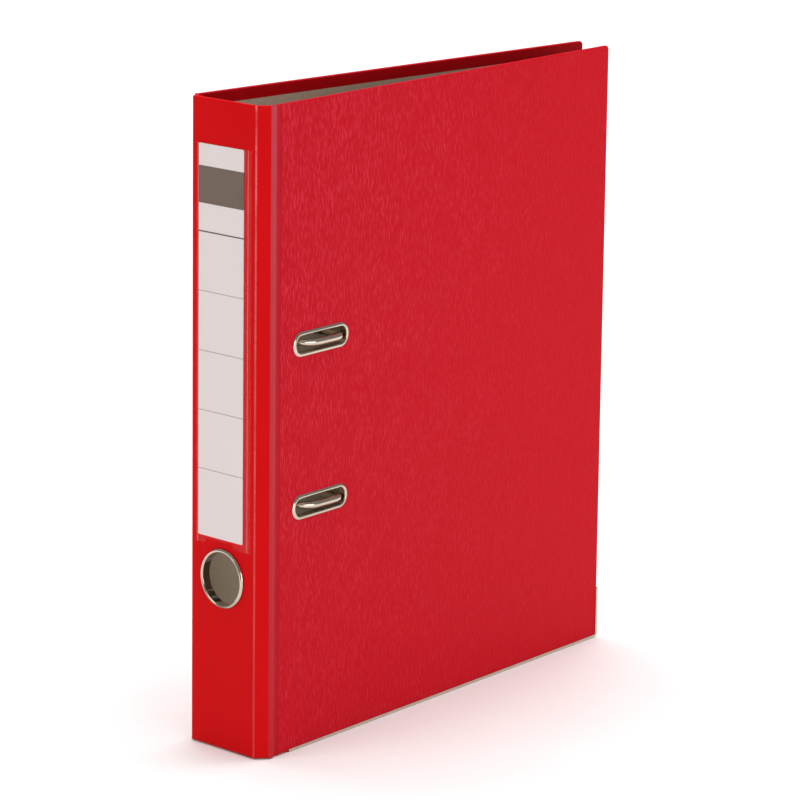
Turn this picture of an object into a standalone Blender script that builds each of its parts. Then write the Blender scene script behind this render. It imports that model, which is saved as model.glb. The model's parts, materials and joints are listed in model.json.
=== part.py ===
"""An A4 lever arch file with a 50 mm spine, closed and standing on its bottom edges.

A board case of five panels (back cover, back strip, spine, front strip, front cover) folds at
four creases. A steel lever arch mechanism is riveted to the inside of the back cover, and its
arches stand out through two metal-lined slots in the front cover.

Every panel is drawn flat in its own frame: X runs across the panel from the back cover's side
to the front cover's side, Y goes from the outer face towards the inside of the file, Z is up.
Lengths are in millimetres until an object is made, which takes them to metres.
"""
import math

import bmesh
import bpy
from mathutils import Quaternion, Vector

MM = 0.001

# Driving dimensions of the case
HEIGHT = 318.0
SPINE_WIDTH = 43.8
STRIP_WIDTH = 7.77
STRIP_TURN = 51.2
COVER_DEPTH = 278.7
FRONT_LEAN = 7.7
BACK_LEAN = -1.4
CORNER_RADIUS = 2.0
FOOT_RISE = 0.6

# The layers of a panel, from the outside in
FILM = 0.25
GLUE_GAP = 0.1
BOARD = 1.85
LINING = 0.25
BOARD_IN = FILM + GLUE_GAP
BOARD_OUT = BOARD_IN + BOARD
LINING_IN = BOARD_OUT + GLUE_GAP
PANEL = LINING_IN + LINING
TURN_IN = 6.0
CREASE_GAP = 0.15

# Edge protectors of folded steel
RAIL_SHEET = 0.3
RAIL_GAP = 0.1
RAIL_COVER = 1.0
RAIL_EDGE_GAP = 0.3
RAIL_START = 14.9
RAIL_CLIMB = 27.4

# Slots of the front cover and their eyelets
SLOT_CENTRE = 37.7
SLOT_LENGTH = 38.9
SLOT_WIDTH = 8.5
MIDDLE = 160.8
ARCH_PITCH = 80.0
EYELET_SHEET = 0.4
EYELET_FLANGE = 1.9
EYELET_PROUD = 0.75
EYELET_LIP = 1.1
PUNCH_ROOM = 0.25

# Thumb ring of the spine
RING_HEIGHT = 86.0
RING_CLEAR = 12.9
RING_OUTER = 14.75
RING_BARREL = RING_CLEAR + 0.45
RING_PROUD = 1.6
WASHER_OUTER = 14.4

# Label pocket and its card
POCKET_WIDTH = 38.0
POCKET_FOOT = 101.5
POCKET_HEAD = 296.3
POCKET_PROUD = 0.65
NOTCH_START = 7.3
NOTCH_WIDTH = 19.3
NOTCH_DEPTH = 3.2
CARD_INSET = 2.0
CARD_SLACK = 0.5
CARD_WIDTH = 31.0
CARD_FOOT = 105.3
CARD_HEAD = 296.2

# The mechanism, measured from the arches' pivot: V runs away from the spine along the back
# cover and U stands up from it, towards the front cover.
PIVOT_FROM_CREASE = 39.0
PIVOT_ABOVE_LINING = 3.6
WIRE_RADIUS = 1.85
CRANK_ARM = 8.0
CRANK_HALF = 8.0
POST_V = 12.0
POST_TOP = 26.0
LEVER_PIVOT = (14.5, 9.0)
ROLLER_CENTRE = (7.5, 5.4)
ROLLER_RADIUS = 3.5
PIN_RADIUS = 1.6
PIN_BORE = 1.75
LEVER_SHEET = 1.2
LEVER_WEB_TOP = 13.0
LEVER_HALF = 7.0
THUMB_HALF = 11.0
BASE_SHEET = 0.8
BASE_GAP = 0.15
LUG_SHEET = 1.2


# ---------------------------------------------------------------- scene, materials, helpers

def clear_scene():
    for obj in list(bpy.data.objects):
        bpy.data.objects.remove(obj, do_unlink=True)


def new_collection(name):
    collection = bpy.data.collections.new(name)
    bpy.context.scene.collection.children.link(collection)
    return collection


def paint(name, colour, roughness, metallic=0.0, alpha=1.0):
    """A Principled material in the part's own colour."""
    material = bpy.data.materials.new(name)
    material.use_nodes = True
    shader = material.node_tree.nodes["Principled BSDF"]
    shader.inputs["Base Color"].default_value = (*colour, 1.0)
    shader.inputs["Roughness"].default_value = roughness
    shader.inputs["Metallic"].default_value = metallic
    shader.inputs["Alpha"].default_value = alpha
    material.diffuse_color = (*colour, alpha)
    return material


def rounded_rectangle(x_low, x_high, z_low, z_high, radii, steps=4):
    """Outline points, anticlockwise from the low corner; radii go corner by corner."""
    corners = [(x_low, z_low, 180), (x_high, z_low, 270), (x_high, z_high, 0), (x_low, z_high, 90)]
    points = []
    for (x, z, start), radius in zip(corners, radii):
        if radius == 0:
            points.append((x, z))
            continue
        centre_x = x + (radius if x == x_low else -radius)
        centre_z = z + (radius if z == z_low else -radius)
        for step in range(steps + 1):
            angle = math.radians(start + 90 * step / steps)
            points.append((centre_x + radius * math.cos(angle), centre_z + radius * math.sin(angle)))
    return points


def circle(x, z, radius, steps=24):
    turns = [2 * math.pi * step / steps for step in range(steps)]
    return [(x + radius * math.cos(turn), z + radius * math.sin(turn)) for turn in turns]


def stadium(x, z, length, width, steps=8):
    """A slot outline with round ends, its length along X."""
    return rounded_rectangle(x - length / 2, x + length / 2, z - width / 2, z + width / 2,
                             [width / 2] * 4, steps)


def mesh_from_curve(curve_object):
    """Replace a curve object by its mesh, with the loose caps welded on."""
    depsgraph = bpy.context.evaluated_depsgraph_get()
    mesh = bpy.data.meshes.new_from_object(curve_object.evaluated_get(depsgraph))
    shape = bmesh.new()
    shape.from_mesh(mesh)
    bmesh.ops.remove_doubles(shape, verts=shape.verts, dist=0.001 * MM)
    bmesh.ops.recalc_face_normals(shape, faces=shape.faces)
    shape.to_mesh(mesh)
    shape.free()
    made = bpy.data.objects.new(curve_object.name, mesh)
    made.matrix_world = curve_object.matrix_world
    name = curve_object.name
    bpy.data.objects.remove(curve_object, do_unlink=True)
    made.name = name
    return made


def outline_curve(name, loops, thickness=0.0):
    """A filled 2D curve with holes, drawn in its own X and Y."""
    curve = bpy.data.curves.new(name, "CURVE")
    curve.dimensions = "2D"
    curve.fill_mode = "BOTH"
    curve.extrude = thickness / 2 * MM
    for loop in loops:
        spline = curve.splines.new("POLY")
        spline.points.add(len(loop) - 1)
        for point, (across, along) in zip(spline.points, loop):
            point.co = (across * MM, along * MM, 0, 1)
        spline.use_cyclic_u = True
    flat = bpy.data.objects.new(name, curve)
    bpy.context.scene.collection.objects.link(flat)
    bpy.context.view_layer.update()
    return flat


def outline_solid(name, loops, low, high, upright=True):
    """A flat outline with holes, given thickness from low to high.

    An upright outline is drawn in X and Z and thickened along Y; one that lies flat is drawn in
    X and Y and thickened along Z.
    """
    solid = mesh_from_curve(outline_curve(name, loops, high - low))
    middle = (low + high) / 2 * MM
    for vertex in solid.data.vertices:
        x, y, z = vertex.co
        vertex.co = (x, middle - z, y) if upright else (x, y, z + middle)
    return solid


def wire_solid(name, points, radius, sides):
    """A round wire along points, with filled ends."""
    curve = bpy.data.curves.new(name, "CURVE")
    curve.dimensions = "3D"
    curve.bevel_depth = radius * MM
    curve.bevel_resolution = sides // 2 - 2
    curve.use_fill_caps = True
    spline = curve.splines.new("POLY")
    spline.points.add(len(points) - 1)
    for point, place in zip(spline.points, points):
        point.co = (*(Vector(place) * MM), 1)
    wire = bpy.data.objects.new(name, curve)
    bpy.context.scene.collection.objects.link(wire)
    bpy.context.view_layer.update()
    return mesh_from_curve(wire)


def turned_solid(name, profile, place, axis, steps=32, closed=False):
    """Turn a profile of (radius, height) points about axis, with the height measured from place.

    The profile runs down its outer side, from the greatest height to the least.
    """
    mesh = bpy.data.meshes.new(name)
    rows = [(radius * MM, 0, height * MM) for radius, height in profile]
    edges = [(index, index + 1) for index in range(len(rows) - 1)]
    if closed:
        edges.append((len(rows) - 1, 0))
    mesh.from_pydata(rows, edges, [])
    solid = bpy.data.objects.new(name, mesh)
    solid.location = Vector(place) * MM
    solid.rotation_euler = Vector((0, 0, 1)).rotation_difference(Vector(axis)).to_euler()
    screw = solid.modifiers.new("turn", "SCREW")
    screw.steps = steps
    screw.render_steps = steps
    screw.use_merge_vertices = True
    screw.merge_threshold = 0.00001
    return solid


def settle(obj, frame, material):
    """Put a finished piece in its panel's frame, with its material."""
    parts.objects.link(obj)
    for collection in list(obj.users_collection):
        if collection is not parts:
            collection.objects.unlink(obj)
    obj.parent = frame
    obj.data.materials.clear()
    obj.data.materials.append(material)
    return obj


def boolean(obj, tool, operation, frame):
    """Cut or join obj with tool, which stays in the scene as a hidden guide."""
    guides.objects.link(tool)
    for collection in list(tool.users_collection):
        if collection is not guides:
            collection.objects.unlink(tool)
    tool.parent = frame
    tool.hide_render = True
    tool.display_type = "WIRE"
    step = obj.modifiers.new(operation.lower(), "BOOLEAN")
    step.operation = operation
    step.solver = "EXACT"
    step.object = tool


def empty_frame(name, x, y, turn, parent):
    """A panel's frame: an empty on the crease, turned about Z from its parent's frame."""
    frame = bpy.data.objects.new(name, None)
    parts.objects.link(frame)
    frame.empty_display_size = 20 * MM
    frame.parent = parent
    frame.location = (x * MM, y * MM, 0)
    frame.rotation_euler = (0, 0, math.radians(turn))
    return frame


# ---------------------------------------------------------------- the case

def crease_setback(turn, depth):
    """How far a layer's edge stays back from a crease, so the folded panels clear."""
    return depth * math.tan(math.radians(turn) / 2) + CREASE_GAP


def make_panel(name, frame, width, turns, materials, holes=None):
    """Film, board and lining of one panel, width wide, in its frame.

    turns are the folds at its low and high X sides, None at a cover's free edge: the back cover
    lies at negative X, every other panel at positive X. The film wraps the board's top, bottom
    and free edge and comes back over the inside as a narrow turn-in.
    """
    low_edge = -width if turns[0] is None else 0.0
    high_edge = low_edge + width
    holes = holes or []

    def sides(depth, inset):
        """The low and high X of an outline at a depth: set back at a crease, inset at an edge."""
        low = inset if turns[0] is None else crease_setback(turns[0], depth)
        high = inset if turns[1] is None else crease_setback(turns[1], depth)
        return low_edge + low, high_edge - high

    def outline(depth, inset, radius):
        radii = [radius if turn is None else 0 for turn in (turns[0], turns[1])]
        return rounded_rectangle(*sides(depth, inset), FOOT_RISE + inset, HEIGHT - inset,
                                 [radii[0], radii[1], radii[1], radii[0]])

    outer = outline(FILM, 0, CORNER_RADIUS)
    rows = [[(x, depth, z) for x, z in loop] for loop, depth in (
        (outer, 0), (outline(PANEL, 0, CORNER_RADIUS), PANEL), (outline(PANEL, TURN_IN, 0.5), PANEL))]
    film = folded_sheet(name + "_film", [outer] + holes, rows, turns, FILM)
    settle(film, frame, materials[0])
    wall = FILM + GLUE_GAP
    board = outline_solid(name + "_board", [outline(BOARD_OUT, wall, CORNER_RADIUS - wall)] + holes,
                          BOARD_IN, BOARD_OUT)
    settle(board, frame, materials[1])
    lining = outline_solid(name + "_lining", [outline(PANEL, TURN_IN + GLUE_GAP, 0.5)] + holes,
                           LINING_IN, PANEL)
    settle(lining, frame, materials[2])


def folded_sheet(name, face_loops, rows, turns, thickness):
    """A flat face with holes whose free edges fold over along rows, made solid inwards.

    Each row is the face's outline moved to the next fold; the runs of an outline that lie along
    a crease stay open, so the panel's board can slide in there.
    """
    face = outline_curve(name, face_loops)
    sheet = bmesh.new()
    mesh = mesh_from_curve(face)
    sheet.from_mesh(mesh.data)
    for vertex in sheet.verts:
        x, y, z = vertex.co
        vertex.co = (x, -z, y)
    low_x = min(x for x, _, _ in rows[0])
    high_x = max(x for x, _, _ in rows[0])
    count = len(rows[0])
    for row, next_row in zip(rows, rows[1:]):
        for index in range(count):
            after = (index + 1) % count
            start, end = rows[0][index], rows[0][after]
            on_low_crease = turns[0] is not None and start[0] == end[0] == low_x
            on_high_crease = turns[1] is not None and start[0] == end[0] == high_x
            if on_low_crease or on_high_crease:
                continue
            corners = [row[index], row[after], next_row[after], next_row[index]]
            sheet.faces.new([sheet.verts.new(Vector(place) * MM) for place in corners])
    bmesh.ops.remove_doubles(sheet, verts=sheet.verts, dist=0.001 * MM)
    bmesh.ops.recalc_face_normals(sheet, faces=sheet.faces)
    sheet.normal_update()
    flat = max(sheet.faces, key=lambda each: each.calc_area())
    if flat.normal.y > 0:
        bmesh.ops.reverse_faces(sheet, faces=sheet.faces)
    sheet.to_mesh(mesh.data)
    sheet.free()
    shell = mesh.modifiers.new("thickness", "SOLIDIFY")
    shell.thickness = thickness * MM
    shell.offset = -1
    shell.use_even_offset = True
    return mesh


def make_edge_protector(name, frame, facing, material):
    """A steel channel folded over a cover's bottom edge, round the corner and up its side.

    facing is 1 for a cover that runs towards +X and -1 for one that runs towards -X.
    """
    def edge_run(offset):
        """Points along the cover's edge, offset outwards, from the crease end to the top end."""
        radius = max(CORNER_RADIUS + offset, 0.5)
        loop = rounded_rectangle(RAIL_START, COVER_DEPTH + offset, FOOT_RISE - offset, RAIL_CLIMB,
                                 [0, radius, 0, 0])
        return loop[:-1]

    cover_off, web_off = -RAIL_COVER, RAIL_SHEET + RAIL_EDGE_GAP
    near, far = -RAIL_GAP - RAIL_SHEET, PANEL + RAIL_GAP + RAIL_SHEET
    rows = [[(facing * x, depth, z) for x, z in edge_run(offset)]
            for offset, depth in ((cover_off, near), (web_off, near), (web_off, far), (cover_off, far))]
    sheet = bmesh.new()
    for row, next_row in zip(rows, rows[1:]):
        for index in range(len(row) - 1):
            corners = [row[index], row[index + 1], next_row[index + 1], next_row[index]]
            if facing > 0:
                corners.reverse()
            sheet.faces.new([sheet.verts.new(Vector(place) * MM) for place in corners])
    bmesh.ops.remove_doubles(sheet, verts=sheet.verts, dist=0.001 * MM)
    mesh = bpy.data.meshes.new(name)
    sheet.to_mesh(mesh)
    sheet.free()
    rail = bpy.data.objects.new(name, mesh)
    shell = rail.modifiers.new("thickness", "SOLIDIFY")
    shell.thickness = RAIL_SHEET * MM
    shell.offset = -1
    shell.use_even_offset = True
    settle(rail, frame, material)


def make_slot_eyelet(name, frame, z, material):
    """A pressed steel eyelet: flange outside, barrel through the cover, lip turned out inside."""
    length, width = SLOT_LENGTH, SLOT_WIDTH
    barrel_grow = 2 * EYELET_SHEET
    flange_grow = 2 * EYELET_FLANGE
    lip_grow = 2 * (EYELET_SHEET + EYELET_LIP)
    hole = stadium(SLOT_CENTRE, z, length, width)
    barrel_edge = stadium(SLOT_CENTRE, z, length + barrel_grow, width + barrel_grow)
    flange_edge = stadium(SLOT_CENTRE, z, length + flange_grow, width + flange_grow)
    lip_edge = stadium(SLOT_CENTRE, z, length + lip_grow, width + lip_grow)
    lip_low = PANEL + GLUE_GAP
    eyelet = outline_solid(name, [barrel_edge], -EYELET_PROUD + 0.1, lip_low + 0.3)
    flange = outline_solid(name + "_flange", [flange_edge], -EYELET_PROUD, -GLUE_GAP)
    lip = outline_solid(name + "_lip", [lip_edge], lip_low, lip_low + EYELET_SHEET)
    opening = outline_solid(name + "_opening", [hole], -5, PANEL + 5)
    boolean(eyelet, flange, "UNION", frame)
    boolean(eyelet, lip, "UNION", frame)
    boolean(eyelet, opening, "DIFFERENCE", frame)
    settle(eyelet, frame, material)


def make_thumb_ring(frame, material):
    """The finger ring: a turned steel bead outside with a barrel, clinched to a washer inside."""
    x = SPINE_WIDTH / 2
    bead = [(RING_CLEAR, PANEL + 0.75), (RING_BARREL, PANEL + 0.75), (RING_BARREL, -GLUE_GAP),
            (RING_OUTER - 0.15, -GLUE_GAP), (RING_OUTER, -0.55), (RING_OUTER - 0.35, -1.1),
            (RING_CLEAR + 1.1, -RING_PROUD), (RING_CLEAR + 0.35, 0.15 - RING_PROUD),
            (RING_CLEAR, 0.6 - RING_PROUD)]
    ring = turned_solid("thumb_ring", bead, (x, 0, RING_HEIGHT), (0, 1, 0), 36, closed=True)
    settle(ring, frame, material)
    low = PANEL + GLUE_GAP
    washer_hole = RING_BARREL + 0.15
    washer_profile = [(washer_hole, low + 0.6), (WASHER_OUTER - 0.8, low + 0.6),
                      (WASHER_OUTER, low + 0.3), (WASHER_OUTER, low), (washer_hole, low)]
    washer = turned_solid("thumb_ring_washer", washer_profile, (x, 0, RING_HEIGHT), (0, 1, 0),
                          36, closed=True)
    settle(washer, frame, material)


def make_label(frame, pocket_material, card_material):
    """A clear pocket welded to the spine along its sides and foot, open at its head."""
    middle = SPINE_WIDTH / 2
    low_x, high_x = middle - POCKET_WIDTH / 2, middle + POCKET_WIDTH / 2
    notch_low = low_x + NOTCH_START
    notch_high = notch_low + NOTCH_WIDTH
    notch_top = POCKET_FOOT + NOTCH_DEPTH
    outline = [(low_x, POCKET_FOOT), (notch_low, POCKET_FOOT), (notch_low, notch_top),
               (notch_high, notch_top), (notch_high, POCKET_FOOT), (high_x, POCKET_FOOT),
               (high_x, POCKET_HEAD), (low_x, POCKET_HEAD)]
    pocket = outline_solid("label_pocket", [outline], -POCKET_PROUD, -0.05)
    card_low = low_x + CARD_INSET
    space = outline_solid("label_pocket_space", [rounded_rectangle(
        card_low - CARD_SLACK, card_low + CARD_WIDTH + CARD_SLACK, CARD_FOOT - 0.3,
        POCKET_HEAD + 5, [0, 0, 0, 0])], 0.15 - POCKET_PROUD, 1)
    boolean(pocket, space, "DIFFERENCE", frame)
    settle(pocket, frame, pocket_material)
    card = outline_solid("label_card", [rounded_rectangle(
        card_low, card_low + CARD_WIDTH, CARD_FOOT, CARD_HEAD, [0.6] * 4, 2)], -0.4, -0.15)
    settle(card, frame, card_material)


# ---------------------------------------------------------------- the mechanism

def mech(v, u):
    """A point of the mechanism's plane in the back cover's frame, as X and Y."""
    return (-PIVOT_FROM_CREASE - v, PANEL + PIVOT_ABOVE_LINING + u)


def mech_outline(points):
    """An outline given in V and U, drawn in the back cover's X and Y."""
    return [mech(v, u) for v, u in points]


def rounded_path(corners, radii, turn_step=12):
    """Straight runs between corners with each inner corner rounded by an arc."""
    path = [Vector(corners[0])]
    for before, corner, after, radius in zip(corners, corners[1:], corners[2:], radii):
        corner = Vector(corner)
        arrive = (corner - Vector(before)).normalized()
        leave = (Vector(after) - corner).normalized()
        turn = arrive.angle(leave)
        centre_way = (leave - arrive).normalized()
        centre = corner + centre_way * radius / math.cos(turn / 2)
        start = corner - arrive * radius * math.tan(turn / 2) - centre
        axis = arrive.cross(leave).normalized()
        steps = max(2, round(math.degrees(turn) / turn_step))
        for step in range(steps + 1):
            arm = start.copy()
            arm.rotate(Quaternion(axis, turn * step / steps))
            path.append(centre + arm)
    path.append(Vector(corners[-1]))
    return path


def make_arch_wire(frame, material):
    """Both arches and the crank between them, bent from one steel wire."""
    half = ARCH_PITCH / 2
    arch = [(0.0, 0.0), (-21.5, 24.0), (-15.2, 41.5), (-8.6, 45.7), (5.5, 44.6),
            (POST_V, 43.6), (POST_V, POST_TOP + 0.3)]
    upper = [(v, u, half) for v, u in arch]
    crank = [(0.0, 0.0, CRANK_HALF + 3.5), (CRANK_ARM, 0.0, CRANK_HALF)]
    corners = [(v, u, -z) for v, u, z in reversed(upper)]
    corners += [(v, u, -z) for v, u, z in crank]
    corners += [(v, u, z) for v, u, z in reversed(crank)]
    corners += upper
    one_side = [4.0, 13.0, 8.0, 9.0, 40.0, 5.5]
    radii = one_side[::-1] + [2.2, 2.2, 2.2, 2.2] + one_side
    path = rounded_path(corners, radii)
    points = [(*mech(v, u), MIDDLE + z) for v, u, z in path]
    wire = wire_solid("arch_wire", points, WIRE_RADIUS, 10)
    settle(wire, frame, material)


def make_post(name, frame, z, material):
    """A fixed post: a tube that takes the arch's end, with a foot riveted through the base."""
    x, y = mech(POST_V, 0)
    plate_top = PANEL + BASE_GAP + BASE_SHEET - y
    profile = [(0, plate_top + 14), (1.1, plate_top + 14), (1.1, POST_TOP - 0.5),
               (1.5, POST_TOP), (1.75, POST_TOP), (2.1, POST_TOP - 0.5),
               (2.1, plate_top + 1.3), (3.4, plate_top + 0.9), (3.4, plate_top + 0.1),
               (1.5, plate_top + 0.1), (1.5, plate_top - BASE_SHEET), (0, plate_top - BASE_SHEET)]
    post = turned_solid(name, profile, (x, y, z), (0, 1, 0), 20)
    settle(post, frame, material)


def make_base_plate(frame, material):
    """The pressed base plate with two wire bearings and the lever's two lugs."""
    low = PANEL + BASE_GAP
    high = low + BASE_SHEET
    x_spine = mech(-15.0, 0)[0]
    x_free = mech(21.0, 0)[0]
    outline = rounded_rectangle(x_free, x_spine, MIDDLE - 60, MIDDLE + 60, [5.0] * 4)
    holes = [circle(*place, 2.1, 16) for place in rivet_places()]
    holes += [circle(mech(POST_V, 0)[0], MIDDLE + side * ARCH_PITCH / 2, 1.8, 16)
              for side in (-1, 1)]
    plate = outline_solid("mechanism_base_plate", [outline] + holes, low, high)
    foot = high - mech(0, 0)[1] - 0.4
    for side in (-1, 1):
        bearing = [(-4.6, foot), (4.6, foot), (3.4, 1.2), (2.0, 3.2), (0, 3.9), (-2.0, 3.2),
                   (-3.4, 1.2)]
        middle = MIDDLE + side * 27
        ear = outline_solid("wire_bearing", [
            mech_outline(bearing), circle(*mech(0, 0), WIRE_RADIUS + 0.2, 20)],
            middle - LUG_SHEET / 2, middle + LUG_SHEET / 2, upright=False)
        boolean(plate, ear, "UNION", frame)
        v, u = LEVER_PIVOT
        lug = [(v - 4.0, foot), (v + 5.5, foot), (v + 3.6, u - 1.0), (v + 3.2, u + 2.0),
               (v + 1.6, u + 3.4), (v - 1.6, u + 3.4), (v - 3.2, u + 2.0), (v - 3.6, u - 1.0)]
        middle = MIDDLE + side * 9.5
        cheek = outline_solid("lever_lug", [
            mech_outline(lug), circle(*mech(v, u), PIN_BORE, 20)],
            middle - LUG_SHEET / 2, middle + LUG_SHEET / 2, upright=False)
        boolean(plate, cheek, "UNION", frame)
    settle(plate, frame, material)


def rivet_places():
    """Where the four rivets go through, as X and Z."""
    return [(mech(v, 0)[0], MIDDLE + z) for v in (-10.0, 17.0) for z in (-54.0, 54.0)]


def make_rivets(frame, material):
    """Four steel rivets that hold the base plate to the back cover."""
    tail = PANEL + BASE_GAP + BASE_SHEET + 0.08
    profile = [(0, tail + 0.55), (1.6, tail + 0.55), (2.9, tail + 0.2), (3.0, tail),
               (1.9, tail), (1.9, -0.08), (4.0, -0.08), (3.9, -0.4), (2.6, -0.7), (0, -0.75)]
    for number, (x, z) in enumerate(rivet_places()):
        rivet = turned_solid("mechanism_rivet_" + str(number + 1), profile, (x, 0, z),
                             (0, 1, 0), 20)
        settle(rivet, frame, material)


def make_lever(frame, material):
    """The lever: two cheeks and a top web pressed from one sheet, widened to a thumb plate."""
    v, u = LEVER_PIVOT
    roller_v, roller_u = ROLLER_CENTRE
    web_top, web = LEVER_WEB_TOP, LEVER_SHEET
    run = [(v + 2.8, web_top - 1.2), (v + 1.6, web_top), (-12.0, web_top), (-22.0, web_top - 1.0),
           (-26.6, web_top + 0.2)]
    back = [(-27.0, web_top - 0.9), (-22.0, web_top - 1.0 - web), (-12.0, web_top - web),
            (v + 1.2, web_top - web), (v + 2.0, web_top - web - 1.0)]
    lever = outline_solid("lever", [mech_outline(run + back)], MIDDLE - LEVER_HALF,
                          MIDDLE + LEVER_HALF, upright=False)
    thumb_run = [(-13.0, web_top), (-22.0, web_top - 1.0), (-26.6, web_top + 0.2)]
    thumb_back = [(-27.0, web_top - 0.9), (-22.0, web_top - 1.0 - web), (-13.0, web_top - web)]
    thumb = outline_solid("thumb_plate", [mech_outline(thumb_run + thumb_back)],
                          MIDDLE - THUMB_HALF, MIDDLE + THUMB_HALF, upright=False)
    boolean(lever, thumb, "UNION", frame)
    cheek = [(v + 3.0, u - 1.4), (v + 3.2, u + 2.0), (v + 2.4, web_top - 0.5),
             (-11.0, web_top - 0.5), (-8.0, web_top - 3.0), (roller_v - 4.5, roller_u + 1.5),
             (roller_v - 2.3, roller_u - 1.4), (roller_v, roller_u - 2.3),
             (roller_v + 2.4, roller_u - 1.4), (v - 1.0, u - 3.2), (v + 1.6, u - 2.9)]
    holes = [circle(*mech(v, u), PIN_BORE, 20), circle(*mech(roller_v, roller_u), 1.25, 16)]
    for side in (-1, 1):
        middle = MIDDLE + side * (LEVER_HALF - LEVER_SHEET / 2)
        wall = outline_solid("lever_cheek", [mech_outline(cheek)] + holes,
                             middle - LEVER_SHEET / 2, middle + LEVER_SHEET / 2, upright=False)
        boolean(lever, wall, "UNION", frame)
    settle(lever, frame, material)


def make_pin(name, frame, place, radius, head, half_length, material):
    """A straight pin along Z with a low head peened on each end."""
    profile = [(0, half_length + 0.7), (head - 0.4, half_length + 0.7), (head, half_length + 0.3),
               (head, half_length), (radius, half_length), (radius, -half_length),
               (head, -half_length), (head, -half_length - 0.3),
               (head - 0.4, -half_length - 0.7), (0, -half_length - 0.7)]
    x, y = mech(*place)
    pin = turned_solid(name, profile, (x, y, MIDDLE), (0, 0, 1), 20)
    settle(pin, frame, material)


def make_roller(frame, material):
    """The roller that presses the crank, turning on its own pin."""
    profile = [(1.4, 5.2), (ROLLER_RADIUS - 0.4, 5.2), (ROLLER_RADIUS, 4.8),
               (ROLLER_RADIUS, -4.8), (ROLLER_RADIUS - 0.4, -5.2), (1.4, -5.2)]
    x, y = mech(*ROLLER_CENTRE)
    roller = turned_solid("lever_roller", profile, (x, y, MIDDLE), (0, 0, 1), 24, closed=True)
    settle(roller, frame, material)


# ---------------------------------------------------------------- the whole file

def stand_on_origin(root):
    """Shift the whole file so that its box stands centred on the origin."""
    bpy.context.view_layer.update()
    depsgraph = bpy.context.evaluated_depsgraph_get()
    places = []
    for obj in parts.objects:
        if obj.type == "MESH":
            mesh = obj.evaluated_get(depsgraph).data
            places += [obj.matrix_world @ vertex.co for vertex in mesh.vertices]
    low = [min(place[axis] for place in places) for axis in range(3)]
    high = [max(place[axis] for place in places) for axis in range(3)]
    root.location = (-(low[0] + high[0]) / 2, -(low[1] + high[1]) / 2, -low[2])


def build():
    film = paint("red_film", (0.60, 0.012, 0.018), 0.45)
    board = paint("grey_board", (0.30, 0.26, 0.21), 0.9)
    lining = paint("grey_lining_paper", (0.27, 0.23, 0.18), 0.85)
    nickel = paint("nickelled_steel", (0.66, 0.62, 0.55), 0.25, 1.0)
    clear = paint("clear_film", (0.9, 0.9, 0.9), 0.1, 0.0, 0.3)
    card = paint("label_card_stock", (0.69, 0.63, 0.62), 0.7)
    nylon = paint("white_nylon", (0.75, 0.75, 0.72), 0.5)
    skins = (film, board, lining)

    strip_across = STRIP_WIDTH * math.cos(math.radians(STRIP_TURN))
    strip_deep = STRIP_WIDTH * math.sin(math.radians(STRIP_TURN))
    front_turn = 90 + FRONT_LEAN - STRIP_TURN
    back_turn = 90 + BACK_LEAN - STRIP_TURN
    root = bpy.data.objects.new("lever_arch_file", None)
    parts.objects.link(root)
    back = empty_frame("back_cover_frame", -SPINE_WIDTH / 2 - strip_across, strip_deep,
                       -90 - BACK_LEAN, root)
    back_strip = empty_frame("back_strip_frame", 0, 0, back_turn, back)
    spine = empty_frame("spine_frame", STRIP_WIDTH, 0, STRIP_TURN, back_strip)
    front_strip = empty_frame("front_strip_frame", SPINE_WIDTH, 0, STRIP_TURN, spine)
    front = empty_frame("front_cover_frame", STRIP_WIDTH, 0, front_turn, front_strip)

    rivet_holes = [circle(x, z, 2.3, 16) for x, z in rivet_places()]
    slots = [stadium(SLOT_CENTRE, MIDDLE + side * ARCH_PITCH / 2,
                     SLOT_LENGTH + 2 * (EYELET_SHEET + PUNCH_ROOM),
                     SLOT_WIDTH + 2 * (EYELET_SHEET + PUNCH_ROOM))
             for side in (-1, 1)]
    thumb_hole = [circle(SPINE_WIDTH / 2, RING_HEIGHT, RING_BARREL + PUNCH_ROOM, 36)]
    make_panel("back_cover", back, COVER_DEPTH, (None, back_turn), skins, rivet_holes)
    make_panel("back_strip", back_strip, STRIP_WIDTH, (back_turn, STRIP_TURN), skins)
    make_panel("spine", spine, SPINE_WIDTH, (STRIP_TURN, STRIP_TURN), skins, thumb_hole)
    make_panel("front_strip", front_strip, STRIP_WIDTH, (STRIP_TURN, front_turn), skins)
    make_panel("front_cover", front, COVER_DEPTH, (front_turn, None), skins, slots)
    make_edge_protector("back_edge_protector", back, -1, nickel)
    make_edge_protector("front_edge_protector", front, 1, nickel)
    make_slot_eyelet("slot_eyelet_lower", front, MIDDLE - ARCH_PITCH / 2, nickel)
    make_slot_eyelet("slot_eyelet_upper", front, MIDDLE + ARCH_PITCH / 2, nickel)
    make_thumb_ring(spine, nickel)
    make_label(spine, clear, card)

    make_base_plate(back, nickel)
    make_rivets(back, nickel)
    make_post("post_lower", back, MIDDLE - ARCH_PITCH / 2, nickel)
    make_post("post_upper", back, MIDDLE + ARCH_PITCH / 2, nickel)
    make_arch_wire(back, nickel)
    make_lever(back, nickel)
    make_pin("lever_pivot_pin", back, LEVER_PIVOT, PIN_RADIUS, 2.6, 10.2, nickel)
    make_pin("roller_pin", back, ROLLER_CENTRE, 1.1, 2.0, 7.2, nickel)
    make_roller(back, nylon)
    stand_on_origin(root)


clear_scene()
parts = new_collection("lever_arch_file")
guides = new_collection("cutters")
build()
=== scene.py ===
"""Looks of a red A4 lever arch file that stands closed on its bottom edges.

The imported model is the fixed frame: its boards, linings, label card and steel parts stay, and
the film, the creases, the eyelets, the thumb ring and the label pocket are modelled over it.
Panels are modelled flat in their own frame: X runs across the panel, Y from its outer face
towards the inside of the file, Z is up. Lengths are in metres, given in millimetres times MM.
"""
import json
import math

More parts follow.
